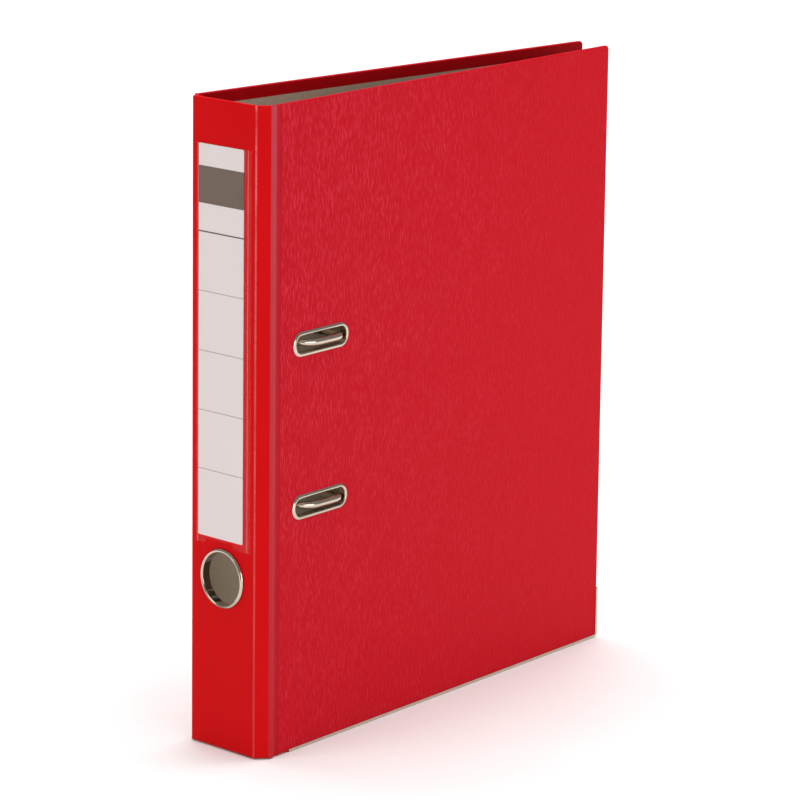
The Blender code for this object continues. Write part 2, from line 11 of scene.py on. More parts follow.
import bmesh
import bpy
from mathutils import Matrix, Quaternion, Vector

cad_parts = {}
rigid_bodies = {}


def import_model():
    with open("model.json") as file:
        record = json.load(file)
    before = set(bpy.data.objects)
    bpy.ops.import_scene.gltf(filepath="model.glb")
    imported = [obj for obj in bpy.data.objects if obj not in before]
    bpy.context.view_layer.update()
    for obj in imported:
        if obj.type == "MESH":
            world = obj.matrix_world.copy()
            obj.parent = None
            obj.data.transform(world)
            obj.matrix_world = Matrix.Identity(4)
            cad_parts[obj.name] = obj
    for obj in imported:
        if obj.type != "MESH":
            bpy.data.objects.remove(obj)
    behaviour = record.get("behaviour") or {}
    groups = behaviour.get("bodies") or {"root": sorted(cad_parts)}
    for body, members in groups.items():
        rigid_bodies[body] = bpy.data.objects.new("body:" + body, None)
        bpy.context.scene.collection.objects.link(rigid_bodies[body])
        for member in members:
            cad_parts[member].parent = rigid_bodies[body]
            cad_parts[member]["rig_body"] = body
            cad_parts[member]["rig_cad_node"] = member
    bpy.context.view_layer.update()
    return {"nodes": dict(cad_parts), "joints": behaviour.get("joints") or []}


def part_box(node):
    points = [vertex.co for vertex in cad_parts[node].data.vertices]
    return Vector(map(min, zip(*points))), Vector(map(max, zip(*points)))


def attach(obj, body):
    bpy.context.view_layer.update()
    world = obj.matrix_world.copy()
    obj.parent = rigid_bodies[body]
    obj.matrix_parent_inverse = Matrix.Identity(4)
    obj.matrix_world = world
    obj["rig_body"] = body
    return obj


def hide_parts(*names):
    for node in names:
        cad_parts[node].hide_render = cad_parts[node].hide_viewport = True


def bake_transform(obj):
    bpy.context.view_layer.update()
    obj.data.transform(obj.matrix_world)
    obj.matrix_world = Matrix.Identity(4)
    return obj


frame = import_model()


# ------------------------------------------------ camera, floor and studio light
# The file stands on a pale, matt studio floor. Four softboxes light it from overhead, from the
# front, from its right and from behind its right side. A small lamp between the covers lights the
# inside, and a dim surround fills the shadows. No lamp shows itself to the camera.

MM = 0.001


def linear(hex_colour):
    """An sRGB colour such as "d8201c" as the linear RGBA that a shader socket takes."""
    channels = [int(hex_colour[start:start + 2], 16) / 255 for start in (0, 2, 4)]
    levels = [c / 12.92 if c <= 0.04045 else ((c + 0.055) / 1.055) ** 2.4 for c in channels]
    return (*levels, 1.0)


def new_material(name):
    material = bpy.data.materials.new(name)
    material.use_nodes = True
    return material


def add(material, kind, sockets=None, links=None, **properties):
    """Adds a shader node, sets its properties and sockets, and links what feeds it."""
    made = material.node_tree.nodes.new(kind)
    for name, value in properties.items():
        setattr(made, name, value)
    for name, value in (sockets or {}).items():
        made.inputs[name].default_value = value
    for name, source in (links or {}).items():
        material.node_tree.links.new(source, made.inputs[name])
    return made


def shade(material, sockets, links=None):
    """Sets the material's own Principled shader."""
    shader = material.node_tree.nodes["Principled BSDF"]
    for name, value in sockets.items():
        shader.inputs[name].default_value = value
    for name, source in (links or {}).items():
        material.node_tree.links.new(source, shader.inputs[name])


def mix_colours(material, low, high, factor):
    """A colour between two sRGB colours by a factor socket."""
    mixed = add(material, "ShaderNodeMix", links={"Factor": factor}, data_type="RGBA")
    mixed.inputs[6].default_value = linear(low)
    mixed.inputs[7].default_value = linear(high)
    return mixed.outputs[2]


def softbox(name, place, aim, size, power, colour, mirrored=True):
    """A rectangular lamp the camera can't see. mirrored says whether reflections show it."""
    way = (Vector(place) - Vector(aim)).to_track_quat("Z", "Y")
    bpy.ops.object.light_add(type="AREA", location=place, rotation=way.to_euler())
    lamp = bpy.context.object
    lamp.name = name
    lamp.data.shape = "RECTANGLE"
    lamp.data.size, lamp.data.size_y = size
    lamp.data.energy = power
    lamp.data.color = linear(colour)[:3]
    lamp.visible_camera = False
    lamp.visible_glossy = mirrored


bpy.context.scene.view_settings.view_transform = "Standard"

CAMERA_TURN = math.radians(44.515)
CAMERA_RISE = math.radians(12.293)
CAMERA_ROLL = math.radians(0.712)
CAMERA_DISTANCE = 2.0944
camera_aim = Vector((-16.17 * MM, -1.87 * MM, 163.1 * MM))
camera_back = Vector((math.sin(CAMERA_TURN) * math.cos(CAMERA_RISE),
                      -math.cos(CAMERA_TURN) * math.cos(CAMERA_RISE), math.sin(CAMERA_RISE)))
camera_turn = camera_back.to_track_quat("Z", "Y") @ Quaternion((0, 0, 1), CAMERA_ROLL)
bpy.ops.object.camera_add(location=camera_aim + camera_back * CAMERA_DISTANCE,
                          rotation=camera_turn.to_euler())
camera = bpy.context.object
camera.name = "studio_camera"
camera.data.lens = 187.08
camera.data.sensor_width = 36
camera.data.shift_y = -0.0327
bpy.context.scene.camera = camera

softbox("overhead_softbox", (-0.8, 1.4, 3.4), (-0.8, 1.3, 0), (5.0, 5.0), 215, "ffffff", False)
softbox("front_softbox", (-0.5, -2.0, 1.5), camera_aim, (1.5, 1.2), 14, "fffaf4")
softbox("right_softbox", (2.2, -0.5, 0.5), camera_aim, (1.4, 0.9), 13, "fffaf6")
softbox("rear_softbox", (0.85, 1.5, 0.65), camera_aim, (0.7, 1.0), 6, "fff4f2", False)
softbox("inside_softbox", (0.012, -0.1, 0.16), (-0.02, -0.1, 0.16), (0.05, 0.28), 0.036, "fffaf6",
        False)

surround = bpy.data.worlds.new("studio_surround")
surround.use_nodes = True
surround.node_tree.nodes["Background"].inputs["Color"].default_value = linear("fbfbff")
surround.node_tree.nodes["Background"].inputs["Strength"].default_value = 0.28
bpy.context.scene.world = surround

# Matt emulsion on a smooth board: pale, with faint uneven roller coverage 40 mm across.
floor_paint = new_material("matt_emulsion_floor")
floor_place = add(floor_paint, "ShaderNodeTexCoord")
floor_cover = add(floor_paint, "ShaderNodeTexNoise", {"Scale": 25.0, "Detail": 3.0},
                  {"Vector": floor_place.outputs["Object"]})
shade(floor_paint, {"Roughness": 0.85, "Specular IOR Level": 0.2},
      {"Base Color": mix_colours(floor_paint, "f3f3f3", "f7f7f7", floor_cover.outputs["Fac"])})
bpy.ops.mesh.primitive_plane_add(size=24)
floor = bpy.context.object
floor.name = "studio_floor"
floor.data.materials.append(floor_paint)


# ------------------------------------------------ film of the five panels
# One coloured film covers the whole board case and is turned in round its edges: a smooth film
# on the spine and its two strips, embossed with a leather grain on the covers. Here each panel
# carries its own length of it, a quarter of a millimetre thick, with the turned edge rounded.

FILM = 0.25 * MM
PANEL = 2.55 * MM
# Points nearer than this are taken as one place, and edges bent more, in radians, are rounded
SAME_PLACE = 0.01 * MM
SHARP_EDGE = 1.2
TURN_IN = 6.0 * MM
EDGE_ROUND = 0.8 * MM
CORNER = 2.0 * MM
CREASE_GAP = 0.15 * MM

joints = {joint["name"]: joint for joint in frame["joints"]}


def crease_at(name):
    return Vector(joints[name]["pos_m"])


def crease_turn(name):
    return math.radians(joints[name]["range_deg"][1])


strip_turn = crease_turn("front_spine_crease")
front_turn = crease_turn("front_cover_crease")
back_turn = crease_turn("back_cover_crease")
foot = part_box("spine_film")[0].z
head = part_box("spine_film")[1].z
height = head - foot
spine_width = (crease_at("front_spine_crease") - crease_at("back_spine_crease")).length
strip_width = (crease_at("front_cover_crease") - crease_at("front_spine_crease")).length
cover_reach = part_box("front_cover_film")[1].y - crease_at("front_cover_crease").y
cover_depth = cover_reach / math.sin(strip_turn + front_turn)

# Where each panel's frame lies: the crease it starts from and its turn about Z
panels = {
    "back_cover": (crease_at("back_cover_crease"), -strip_turn - back_turn),
    "back_strip": (crease_at("back_cover_crease"), -strip_turn),
    "spine": (crease_at("back_spine_crease"), 0.0),
    "front_strip": (crease_at("front_spine_crease"), strip_turn),
    "front_cover": (crease_at("front_cover_crease"), strip_turn + front_turn),
}


def deselect():
    bpy.ops.object.select_all(action="DESELECT")


def select_only(piece):
    """Makes one piece the whole selection and the active one."""
    deselect()
    piece.select_set(True)
    bpy.context.view_layer.objects.active = piece


def pick(piece, kind, wanted):
    """Selects, in edit mode, the vertices, edges or faces that wanted accepts."""
    bpy.ops.mesh.select_mode(type=kind)
    bpy.ops.mesh.select_all(action="DESELECT")
    shape = bmesh.from_edit_mesh(piece.data)
    shape.normal_update()
    parts = {"VERT": shape.verts, "EDGE": shape.edges, "FACE": shape.faces}[kind]
    for part in parts:
        part.select_set(bool(wanted(part)))
    shape.select_flush_mode()
    bmesh.update_edit_mesh(piece.data)


def middle(part):
    return sum((vertex.co for vertex in part.verts), Vector()) / len(part.verts)


def apply_modifier(piece, kind, **settings):
    """Adds one modifier with its settings and applies it."""
    select_only(piece)
    modifier = piece.modifiers.new(kind.lower(), kind)
    for name, value in settings.items():
        setattr(modifier, name, value)
    bpy.ops.object.modifier_apply(modifier=modifier.name)


def smooth_edges(piece, angle=40):
    """Smooth over gentle edges, with the wide faces kept flat."""
    select_only(piece)
    bpy.ops.object.shade_smooth_by_angle(angle=math.radians(angle))
    apply_modifier(piece, "WEIGHTED_NORMAL", keep_sharp=True, weight=90)


def lay_on(piece, panel):
    """Moves a piece drawn in a panel's frame to where that panel stands."""
    place, turn = panels[panel]
    select_only(piece)
    piece.rotation_euler = (0, 0, turn)
    piece.location = (place.x, place.y, 0)
    bpy.ops.object.transform_apply(location=True, rotation=True, scale=True)


def dress(piece, material, body):
    """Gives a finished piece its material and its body."""
    piece.data.materials.clear()
    piece.data.materials.append(material)
    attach(piece, body)


# Smooth polypropylene film, calendered: an even semi-gloss with a faint orange peel 3 mm across.
smooth_film = new_material("calendered_polypropylene_film")
smooth_place = add(smooth_film, "ShaderNodeTexCoord")
smooth_peel = add(smooth_film, "ShaderNodeTexNoise", {"Scale": 330.0, "Detail": 2.0},
                  {"Vector": smooth_place.outputs["Object"]})
smooth_cloud = add(smooth_film, "ShaderNodeTexNoise", {"Scale": 28.0, "Detail": 3.0},
                   {"Vector": smooth_place.outputs["Object"]})
smooth_bump = add(smooth_film, "ShaderNodeBump", {"Strength": 0.06, "Distance": 0.1 * MM},
                  {"Height": smooth_peel.outputs["Fac"]})
smooth_gloss = add(smooth_film, "ShaderNodeMapRange", {"To Min": 0.30, "To Max": 0.40},
                   {"Value": smooth_cloud.outputs["Fac"]})
shade(smooth_film, {"IOR": 1.49, "Specular IOR Level": 0.02},
      {"Base Color": mix_colours(smooth_film, "cc0c10", "d21216", smooth_cloud.outputs["Fac"]),
       "Roughness": smooth_gloss.outputs["Result"], "Normal": smooth_bump.outputs["Normal"]})

# Polypropylene film embossed with a leather grain by a roller: upright pebbles about 0.8 mm
# wide and 4 mm tall, drawn coarse so that they show. A painted sheen makes their tops paler,
# and it fades towards the file's foot and away from its spine.
grained_film = new_material("leather_grain_embossed_film")
grain_place = add(grained_film, "ShaderNodeTexCoord")
grain_stretch = add(grained_film, "ShaderNodeMapping", {"Scale": (1.0, 1.0, 0.2)},
                    {"Vector": grain_place.outputs["Object"]})
grain_warp = add(grained_film, "ShaderNodeTexNoise", {"Scale": 420.0, "Detail": 1.0},
                 {"Vector": grain_stretch.outputs["Vector"]})
grain_warped = add(grained_film, "ShaderNodeVectorMath", {1: (0.0012, 0.0012, 0.0012)},
                   {0: grain_warp.outputs["Color"]}, operation="MULTIPLY")
grain_moved = add(grained_film, "ShaderNodeVectorMath", links={
    0: grain_stretch.outputs["Vector"], 1: grain_warped.outputs["Vector"]}, operation="ADD")
grain_cells = add(grained_film, "ShaderNodeTexVoronoi", {"Scale": 1250.0},
                  {"Vector": grain_moved.outputs["Vector"]}, feature="SMOOTH_F1")
grain_patches = add(grained_film, "ShaderNodeTexNoise", {"Scale": 60.0, "Detail": 2.0},
                    {"Vector": grain_place.outputs["Object"]})
grain_tops = add(grained_film, "ShaderNodeMapRange",
                 {"From Min": 0.5, "From Max": 0.1},
                 {"Value": grain_cells.outputs["Distance"]}, interpolation_type="SMOOTHSTEP")
grain_split = add(grained_film, "ShaderNodeSeparateXYZ",
                  links={"Vector": grain_place.outputs["Object"]})
# Painted sheen: the pebble tops are painted paler towards the head and towards the spine.
painted_sheen_rise = add(grained_film, "ShaderNodeMapRange", {"From Max": head, "To Min": 0.5},
                 {"Value": grain_split.outputs["Z"]})
painted_sheen_depth = add(grained_film, "ShaderNodeMapRange",
                  {"From Min": -0.13, "From Max": 0.11, "To Min": 1.25, "To Max": 0.3},
                  {"Value": grain_split.outputs["Y"]})
painted_sheen_reach = add(grained_film, "ShaderNodeMath", links={
    0: painted_sheen_rise.outputs["Result"], 1: painted_sheen_depth.outputs["Result"]}, operation="MULTIPLY")
grain_painted_sheen = add(grained_film, "ShaderNodeMath", links={
    0: grain_tops.outputs["Result"], 1: painted_sheen_reach.outputs["Value"]}, operation="MULTIPLY")
painted_sheen_share = add(grained_film, "ShaderNodeMath", links={
    0: grain_painted_sheen.outputs["Value"], 1: grain_patches.outputs["Fac"]}, operation="MULTIPLY")
grain_ground = mix_colours(grained_film, "be0c1a", "b80c1e", painted_sheen_reach.outputs["Value"])
grain_bump = add(grained_film, "ShaderNodeBump", {"Strength": 0.8, "Distance": 0.15 * MM},
                 {"Height": grain_tops.outputs["Result"]})
grain_gloss = add(grained_film, "ShaderNodeMapRange", {"To Min": 0.52, "To Max": 0.42},
                  {"Value": painted_sheen_share.outputs["Value"]})
# The painted sheen mixes the pale top colour into the film's own red.
grain_colour = add(grained_film, "ShaderNodeMix",
                   links={"Factor": painted_sheen_share.outputs["Value"]}, data_type="RGBA")
grained_film.node_tree.links.new(grain_ground, grain_colour.inputs[6])
grain_colour.inputs[7].default_value = linear("d8344a")
shade(grained_film, {"IOR": 1.49, "Specular IOR Level": 0.05},
      {"Base Color": grain_colour.outputs[2], "Roughness": grain_gloss.outputs["Result"],
       "Normal": grain_bump.outputs["Normal"]})

# The same film where a rule has pressed the hinge groove: the grain is flattened, and its
# darker colour is painted shade of the groove.
groove_film_painted_shade = new_material("hinge_groove_painted_shade")
groove_place = add(groove_film_painted_shade, "ShaderNodeTexCoord")
groove_cloud = add(groove_film_painted_shade, "ShaderNodeTexNoise", {"Scale": 150.0, "Detail": 3.0},
                   {"Vector": groove_place.outputs["Object"]})
shade(groove_film_painted_shade, {"IOR": 1.49, "Roughness": 0.5, "Specular IOR Level": 0.05},
      {"Base Color": mix_colours(groove_film_painted_shade, "a80e1c", "b61a2a", groove_cloud.outputs["Fac"])})

# The same film's turned-in edge, pressed flat on the inside: painted darker as painted shade,
# with a soft bloom of glue.
turned_in_film_painted_shade = new_material("turned_in_polypropylene_painted_shade")
turned_in_place = add(turned_in_film_painted_shade, "ShaderNodeTexCoord")
turned_in_bloom = add(turned_in_film_painted_shade, "ShaderNodeTexNoise", {"Scale": 90.0, "Detail": 2.0},
                      {"Vector": turned_in_place.outputs["Object"]})
shade(turned_in_film_painted_shade, {"IOR": 1.49, "Roughness": 0.45, "Specular IOR Level": 0.03},
      {"Base Color": mix_colours(turned_in_film_painted_shade, "93050c", "9e0910",
                                 turned_in_bloom.outputs["Fac"])})


def film_panel(name, low, high, low_free, high_free, low_back, high_back):
    """One panel's film from low to high X, its board edges wrapped where an edge is free.

    low_back and high_back are how far the film's end stands back from a crease at its outer
    face and at its inner face.
    """
    deselect()
    bpy.ops.mesh.primitive_cube_add(
        size=1, location=((low + high) / 2, PANEL / 2, (foot + head) / 2),
        scale=(high - low, PANEL, height))
    film = bpy.context.object
    film.name = name
    bpy.ops.object.transform_apply(location=True, rotation=True, scale=True)
    bpy.ops.object.mode_set(mode="EDIT")
    for side, free in ((low, low_free), (high, high_free)):
        if free:
            pick(film, "EDGE", lambda edge: abs(middle(edge).x - side) < SAME_PLACE
                 and abs(edge.verts[0].co.y - edge.verts[1].co.y) > PANEL / 2)
            bpy.ops.mesh.bevel(offset=CORNER, segments=6, affect="EDGES")
    cuts = [((0, 0, foot + TURN_IN), (0, 0, 1)), ((0, 0, head - TURN_IN), (0, 0, 1))]
    cuts += [((low + TURN_IN, 0, 0), (1, 0, 0))] if low_free else []
    cuts += [((high - TURN_IN, 0, 0), (1, 0, 0))] if high_free else []
    for place, normal in cuts:
        bpy.ops.mesh.select_all(action="SELECT")
        bpy.ops.mesh.bisect(plane_co=place, plane_no=normal)
    inner_low = low + TURN_IN if low_free else low
    inner_high = high - TURN_IN if high_free else high
    pick(film, "FACE", lambda face: face.normal.y > 0.9 and inner_low < middle(face).x < inner_high
         and foot + TURN_IN < middle(face).z < head - TURN_IN)
    bpy.ops.mesh.delete(type="FACE")
    pick(film, "FACE", lambda face: abs(face.normal.x) > 0.9 and
         ((not low_free and abs(middle(face).x - low) < SAME_PLACE)
          or (not high_free and abs(middle(face).x - high) < SAME_PLACE)))
    bpy.ops.mesh.delete(type="FACE")
    pick(film, "EDGE", lambda edge: len(edge.link_faces) == 2
         and edge.link_faces[0].normal.angle(edge.link_faces[1].normal) > SHARP_EDGE)
    bpy.ops.mesh.bevel(offset=EDGE_ROUND, segments=3, affect="EDGES")
    for side, back, way in ((low, low_back, 1), (high, high_back, -1)):
        if back is None:
            continue
        for depth_low, depth_high, shift in ((-1, PANEL / 3, back[0]), (PANEL / 3, 1, back[1])):
            pick(film, "VERT", lambda vertex: abs(vertex.co.x - side) < SAME_PLACE
                 and depth_low < vertex.co.y < depth_high)
            bpy.ops.transform.translate(value=(way * shift, 0, 0))
    bpy.ops.object.mode_set(mode="OBJECT")
    return film


def punch(film, cutter):
    """Cuts a hole with a cutter and removes the cutter."""
    apply_modifier(film, "BOOLEAN", operation="DIFFERENCE", solver="EXACT", object=cutter)
    bpy.data.objects.remove(cutter, do_unlink=True)


CUTTER_DEPTH = 20 * MM


def stretched_cylinder(radius, length, x, z):
    """A cutter along Y with round ends, length overall, centred on X and Z."""
    deselect()
    bpy.ops.mesh.primitive_cylinder_add(vertices=64, radius=radius, depth=CUTTER_DEPTH,
                                        rotation=(math.pi / 2, 0, 0))
    cutter = bpy.context.object
    bpy.ops.object.transform_apply(location=True, rotation=True, scale=True)
    bpy.ops.object.mode_set(mode="EDIT")
    pick(cutter, "VERT", lambda vertex: vertex.co.x > 0.001 * MM)
    bpy.ops.transform.translate(value=(length - 2 * radius, 0, 0))
    bpy.ops.mesh.select_all(action="SELECT")
    bpy.ops.transform.translate(value=(x - length / 2 + radius, 0, z))
    bpy.ops.object.mode_set(mode="OBJECT")
    return cutter


def setback(turn):
    """How far a panel's inner face stops short of a crease, so that the folded panels clear."""
    return PANEL * math.tan(turn / 2) + CREASE_GAP


SPINE_BEND = 1.1 * MM
COVER_BEND = 3.0 * MM
BEAD_SHARE = 0.5
spine_tangent = SPINE_BEND * math.tan(strip_turn / 2)
back_tangent = SPINE_BEND * math.tan(back_turn / 2)

# Thickness goes on before the holes, so the sheet is closed when it is cut
back_cover_cover = film_panel("back_cover_covering", -cover_depth, 0, True, False, None,
                              (back_tangent, setback(back_turn)))
back_strip_cover = film_panel("back_strip_covering", 0, strip_width, False, False,
                              (back_tangent, setback(back_turn)),
                              (spine_tangent, setback(strip_turn)))
spine_cover = film_panel("spine_covering", 0, spine_width, False, False,
                         (spine_tangent, setback(strip_turn)),
                         (spine_tangent, setback(strip_turn)))
bead_start = COVER_BEND * math.tan(front_turn / 2) * BEAD_SHARE
front_strip_cover = film_panel("front_strip_covering", 0, strip_width, False, False,
                               (spine_tangent, setback(strip_turn)),
                               (bead_start, setback(front_turn)))

# The front cover's hinge relief, as places across the cover and heights out of its face: a
# rounded bead that the crease starts, a pressed groove, and the crisp edge of the flat cover.
RELIEF_START = 2.15
BEAD_PROUD = 0.465
GROOVE_RELIEF = [(2.6, 0.34), (3.0, 0.16), (3.5, -0.05), (4.1, -0.18), (4.9, -0.22), (5.7, -0.2),
                 (6.3, -0.12), (6.7, -0.02), (7.0, 0.0)]
front_cover_cover = film_panel("front_cover_covering", 0, cover_depth, False, True,
                               (RELIEF_START * MM, setback(front_turn)), None)
bpy.ops.object.mode_set(mode="EDIT")
for place, _ in GROOVE_RELIEF:
    pick(front_cover_cover, "FACE", lambda face: face.normal.y < -0.5)
    bpy.ops.mesh.bisect(plane_co=(place * MM, 0, 0), plane_no=(1, 0, 0))
heights = [(RELIEF_START, BEAD_PROUD)] + GROOVE_RELIEF
for place, rise in heights:
    pick(front_cover_cover, "VERT", lambda vertex: abs(vertex.co.x - place * MM) < 0.02 * MM
         and vertex.co.y < 0.6 * MM)
    bpy.ops.transform.translate(value=(0, -rise * MM, 0))
bpy.ops.object.mode_set(mode="OBJECT")

for film in (back_cover_cover, back_strip_cover, spine_cover, front_strip_cover, front_cover_cover):
    apply_modifier(film, "SOLIDIFY", thickness=FILM, offset=-1, use_even_offset=True)

eyelet_low, eyelet_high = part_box("slot_eyelet_lower")
slot_low_z = (eyelet_low.z + eyelet_high.z) / 2
slot_high_z = sum(corner.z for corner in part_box("slot_eyelet_upper")) / 2
SLOT_MIDDLE = 37.7 * MM
SLOT_LENGTH = 38.9 * MM
SLOT_WIDTH = 8.5 * MM
EYELET_SHEET = 0.4 * MM
ring_low, ring_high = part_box("thumb_ring")
ring_z = (ring_low.z + ring_high.z) / 2
ring_x = (ring_low.x + ring_high.x) / 2 - crease_at("back_spine_crease").x
RING_CLEAR = 12.9 * MM
RING_ROOM = 0.6 * MM
for slot_z in (slot_low_z, slot_high_z):
    punch(front_cover_cover, stretched_cylinder(
        SLOT_WIDTH / 2 + EYELET_SHEET, SLOT_LENGTH + 2 * EYELET_SHEET, SLOT_MIDDLE, slot_z))
punch(spine_cover, stretched_cylinder(RING_CLEAR + RING_ROOM, 2 * (RING_CLEAR + RING_ROOM),
                                      ring_x, ring_z))

for film, panel, material in (
        (back_cover_cover, "back_cover", grained_film),
        (back_strip_cover, "back_strip", smooth_film), (spine_cover, "spine", smooth_film),
        (front_strip_cover, "front_strip", smooth_film),
        (front_cover_cover, "front_cover", grained_film)):
    smooth_edges(film)
    inner_faces = [face.index for face in film.data.polygons
                   if face.normal.y > 0.9 and face.center.y > PANEL * 0.9]
    groove_faces = [face.index for face in film.data.polygons if film is front_cover_cover
                    and face.center.x < GROOVE_RELIEF[-1][0] * MM and face.normal.y < -0.5]
    lay_on(film, panel)
    dress(film, material, panel)
    film.data.materials.append(turned_in_film_painted_shade)
    film.data.materials.append(groove_film_painted_shade)
    # The inner faces get the turned-in film's painted shade.
    for index in inner_faces:
        film.data.polygons[index].material_index = 1
    # The groove faces get the groove's painted shade.
    for index in groove_faces:
        film.data.polygons[index].material_index = 2
    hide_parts(panel + "_film")


# ------------------------------------------------ creases of the case
# Board, film and lining bend together along four pressed lines. The film is stretched round the
# outside of each and crinkled there, and painted paler, partly as stress whitening and partly as
# a painted highlight; the lining is creased on the inside.

# Film stretched over a fold: stress-whitened in fine upright crinkles about 0.6 mm apart, the
# paleness also a painted highlight that grows towards the head.
creased_film_painted_highlight = new_material("stress_whitened_fold_painted_highlight")
crinkle_place = add(creased_film_painted_highlight, "ShaderNodeTexCoord")
crinkle = add(creased_film_painted_highlight, "ShaderNodeTexNoise", {"Scale": 900.0, "Detail": 3.0},
              {"Vector": crinkle_place.outputs["Object"]})
crinkle_run = add(creased_film_painted_highlight, "ShaderNodeTexNoise", {"Scale": 45.0, "Detail": 2.0},
                  {"Vector": crinkle_place.outputs["Object"]})
crinkle_share = add(creased_film_painted_highlight, "ShaderNodeMath", links={
    0: crinkle.outputs["Fac"], 1: crinkle_run.outputs["Fac"]}, operation="MULTIPLY")
crinkle_height = add(creased_film_painted_highlight, "ShaderNodeSeparateXYZ",
                     links={"Vector": crinkle_place.outputs["Object"]})
# Painted highlight: the paleness grows towards the head.
crinkle_highlight_reach = add(creased_film_painted_highlight, "ShaderNodeMapRange", {"From Max": head, "To Min": 0.05},
                    {"Value": crinkle_height.outputs["Z"]})
crinkle_all = add(creased_film_painted_highlight, "ShaderNodeMapRange", {"From Min": 0.12, "From Max": 0.42},
                  {"Value": crinkle_share.outputs["Value"]})
crinkle_whitening_and_highlight = add(creased_film_painted_highlight, "ShaderNodeMath", links={
    0: crinkle_all.outputs["Result"], 1: crinkle_highlight_reach.outputs["Result"]}, operation="MULTIPLY")
crinkle_bump = add(creased_film_painted_highlight, "ShaderNodeBump", {"Strength": 0.4, "Distance": 0.1 * MM},
                   {"Height": crinkle.outputs["Fac"]})
shade(creased_film_painted_highlight, {"IOR": 1.49, "Roughness": 0.45, "Specular IOR Level": 0.4},
      {"Base Color": mix_colours(creased_film_painted_highlight, "d01c1e", "e86e6c", crinkle_whitening_and_highlight.outputs["Value"]),
       "Normal": crinkle_bump.outputs["Normal"]})

# Film over the raised ridge of the front cover: a painted sheen, paler towards the head, in
# patches 8 mm tall.
ridge_film_painted_sheen = new_material("polypropylene_ridge_painted_sheen")
ridge_place = add(ridge_film_painted_sheen, "ShaderNodeTexCoord")
ridge_height = add(ridge_film_painted_sheen, "ShaderNodeSeparateXYZ",
                   links={"Vector": ridge_place.outputs["Object"]})
ridge_sheen_reach = add(ridge_film_painted_sheen, "ShaderNodeMapRange", {"From Max": head},
                  {"Value": ridge_height.outputs["Z"]})
ridge_patch = add(ridge_film_painted_sheen, "ShaderNodeTexNoise", {"Scale": 120.0, "Detail": 3.0},
                  {"Vector": ridge_place.outputs["Object"]})
ridge_even = add(ridge_film_painted_sheen, "ShaderNodeMapRange", {"To Min": 0.6, "To Max": 1.2},
                 {"Value": ridge_patch.outputs["Fac"]})
ridge_painted_sheen = add(ridge_film_painted_sheen, "ShaderNodeMath", links={
    0: ridge_sheen_reach.outputs["Result"], 1: ridge_even.outputs["Result"]}, operation="MULTIPLY")
shade(ridge_film_painted_sheen, {"IOR": 1.49, "Roughness": 0.5, "Specular IOR Level": 0.2},
      {"Base Color": mix_colours(ridge_film_painted_sheen, "bc1620", "b83c4a", ridge_painted_sheen.outputs["Value"])})


def upright_sheet(name, x, y, width, z_low, z_high):
    """A flat sheet that faces out of a panel, centred on x at depth y."""
    deselect()
    bpy.ops.mesh.primitive_plane_add(size=1, rotation=(math.pi / 2, 0, 0),
                                     location=(x, y, (z_low + z_high) / 2))
    sheet = bpy.context.object
    sheet.name = name
    sheet.scale = (width, z_high - z_low, 1)
    bpy.ops.object.transform_apply(location=True, rotation=True, scale=True)
    return sheet


# A fold's wedge closes this share of the panel's thickness in from its outer face
FOLD_INSIDE = 0.8


def film_fold(name, turn, bend, before, after, share):
    """The solid fold between two panels, drawn with the first panel along X up to the crease.

    A flat run comes in along X, the bend turns it inwards about its own centre, and the inside
    closes to the narrow gap between the two panels. share puts the bend's start nearer the
    crease than a tangent needs, which leaves the bend standing proud as a bead.
    """
    start = -bend * math.tan(turn / 2) * share
    fold = upright_sheet(name, start - before / 2, 0, before, foot, head)
    bpy.ops.object.mode_set(mode="EDIT")
    pick(fold, "EDGE", lambda edge: all(abs(v.co.x - start) < 0.001 * MM for v in edge.verts))
    bpy.ops.mesh.spin(steps=8, angle=-turn, center=(start, bend, 0), axis=(0, 0, 1))
    end = Vector((start + bend * math.sin(turn), bend * (1 - math.cos(turn)), 0))
    run = Vector((math.cos(turn), math.sin(turn), 0)) * after
    pick(fold, "EDGE", lambda edge: all(
        (v.co - end).xy.length < 0.002 * MM for v in edge.verts))
    bpy.ops.mesh.extrude_region_move(TRANSFORM_OT_translate={"value": run})
    inner = Vector((-math.sin(turn / 2), math.cos(turn / 2), 0)) * PANEL * FOLD_INSIDE
    bpy.ops.mesh.select_mode(type="FACE")
    bpy.ops.mesh.select_all(action="SELECT")
    bpy.ops.mesh.extrude_region_move(TRANSFORM_OT_translate={"value": (0, 0, 0)})
    bpy.ops.transform.resize(value=(0.0, 0.0, 1.0), center_override=inner)
    bpy.ops.mesh.select_all(action="SELECT")
    bpy.ops.mesh.remove_doubles(threshold=0.001 * MM)
    bpy.ops.mesh.dissolve_degenerate(threshold=0.001 * MM)
    bpy.ops.mesh.normals_make_consistent(inside=False)
    bpy.ops.object.mode_set(mode="OBJECT")
    return fold


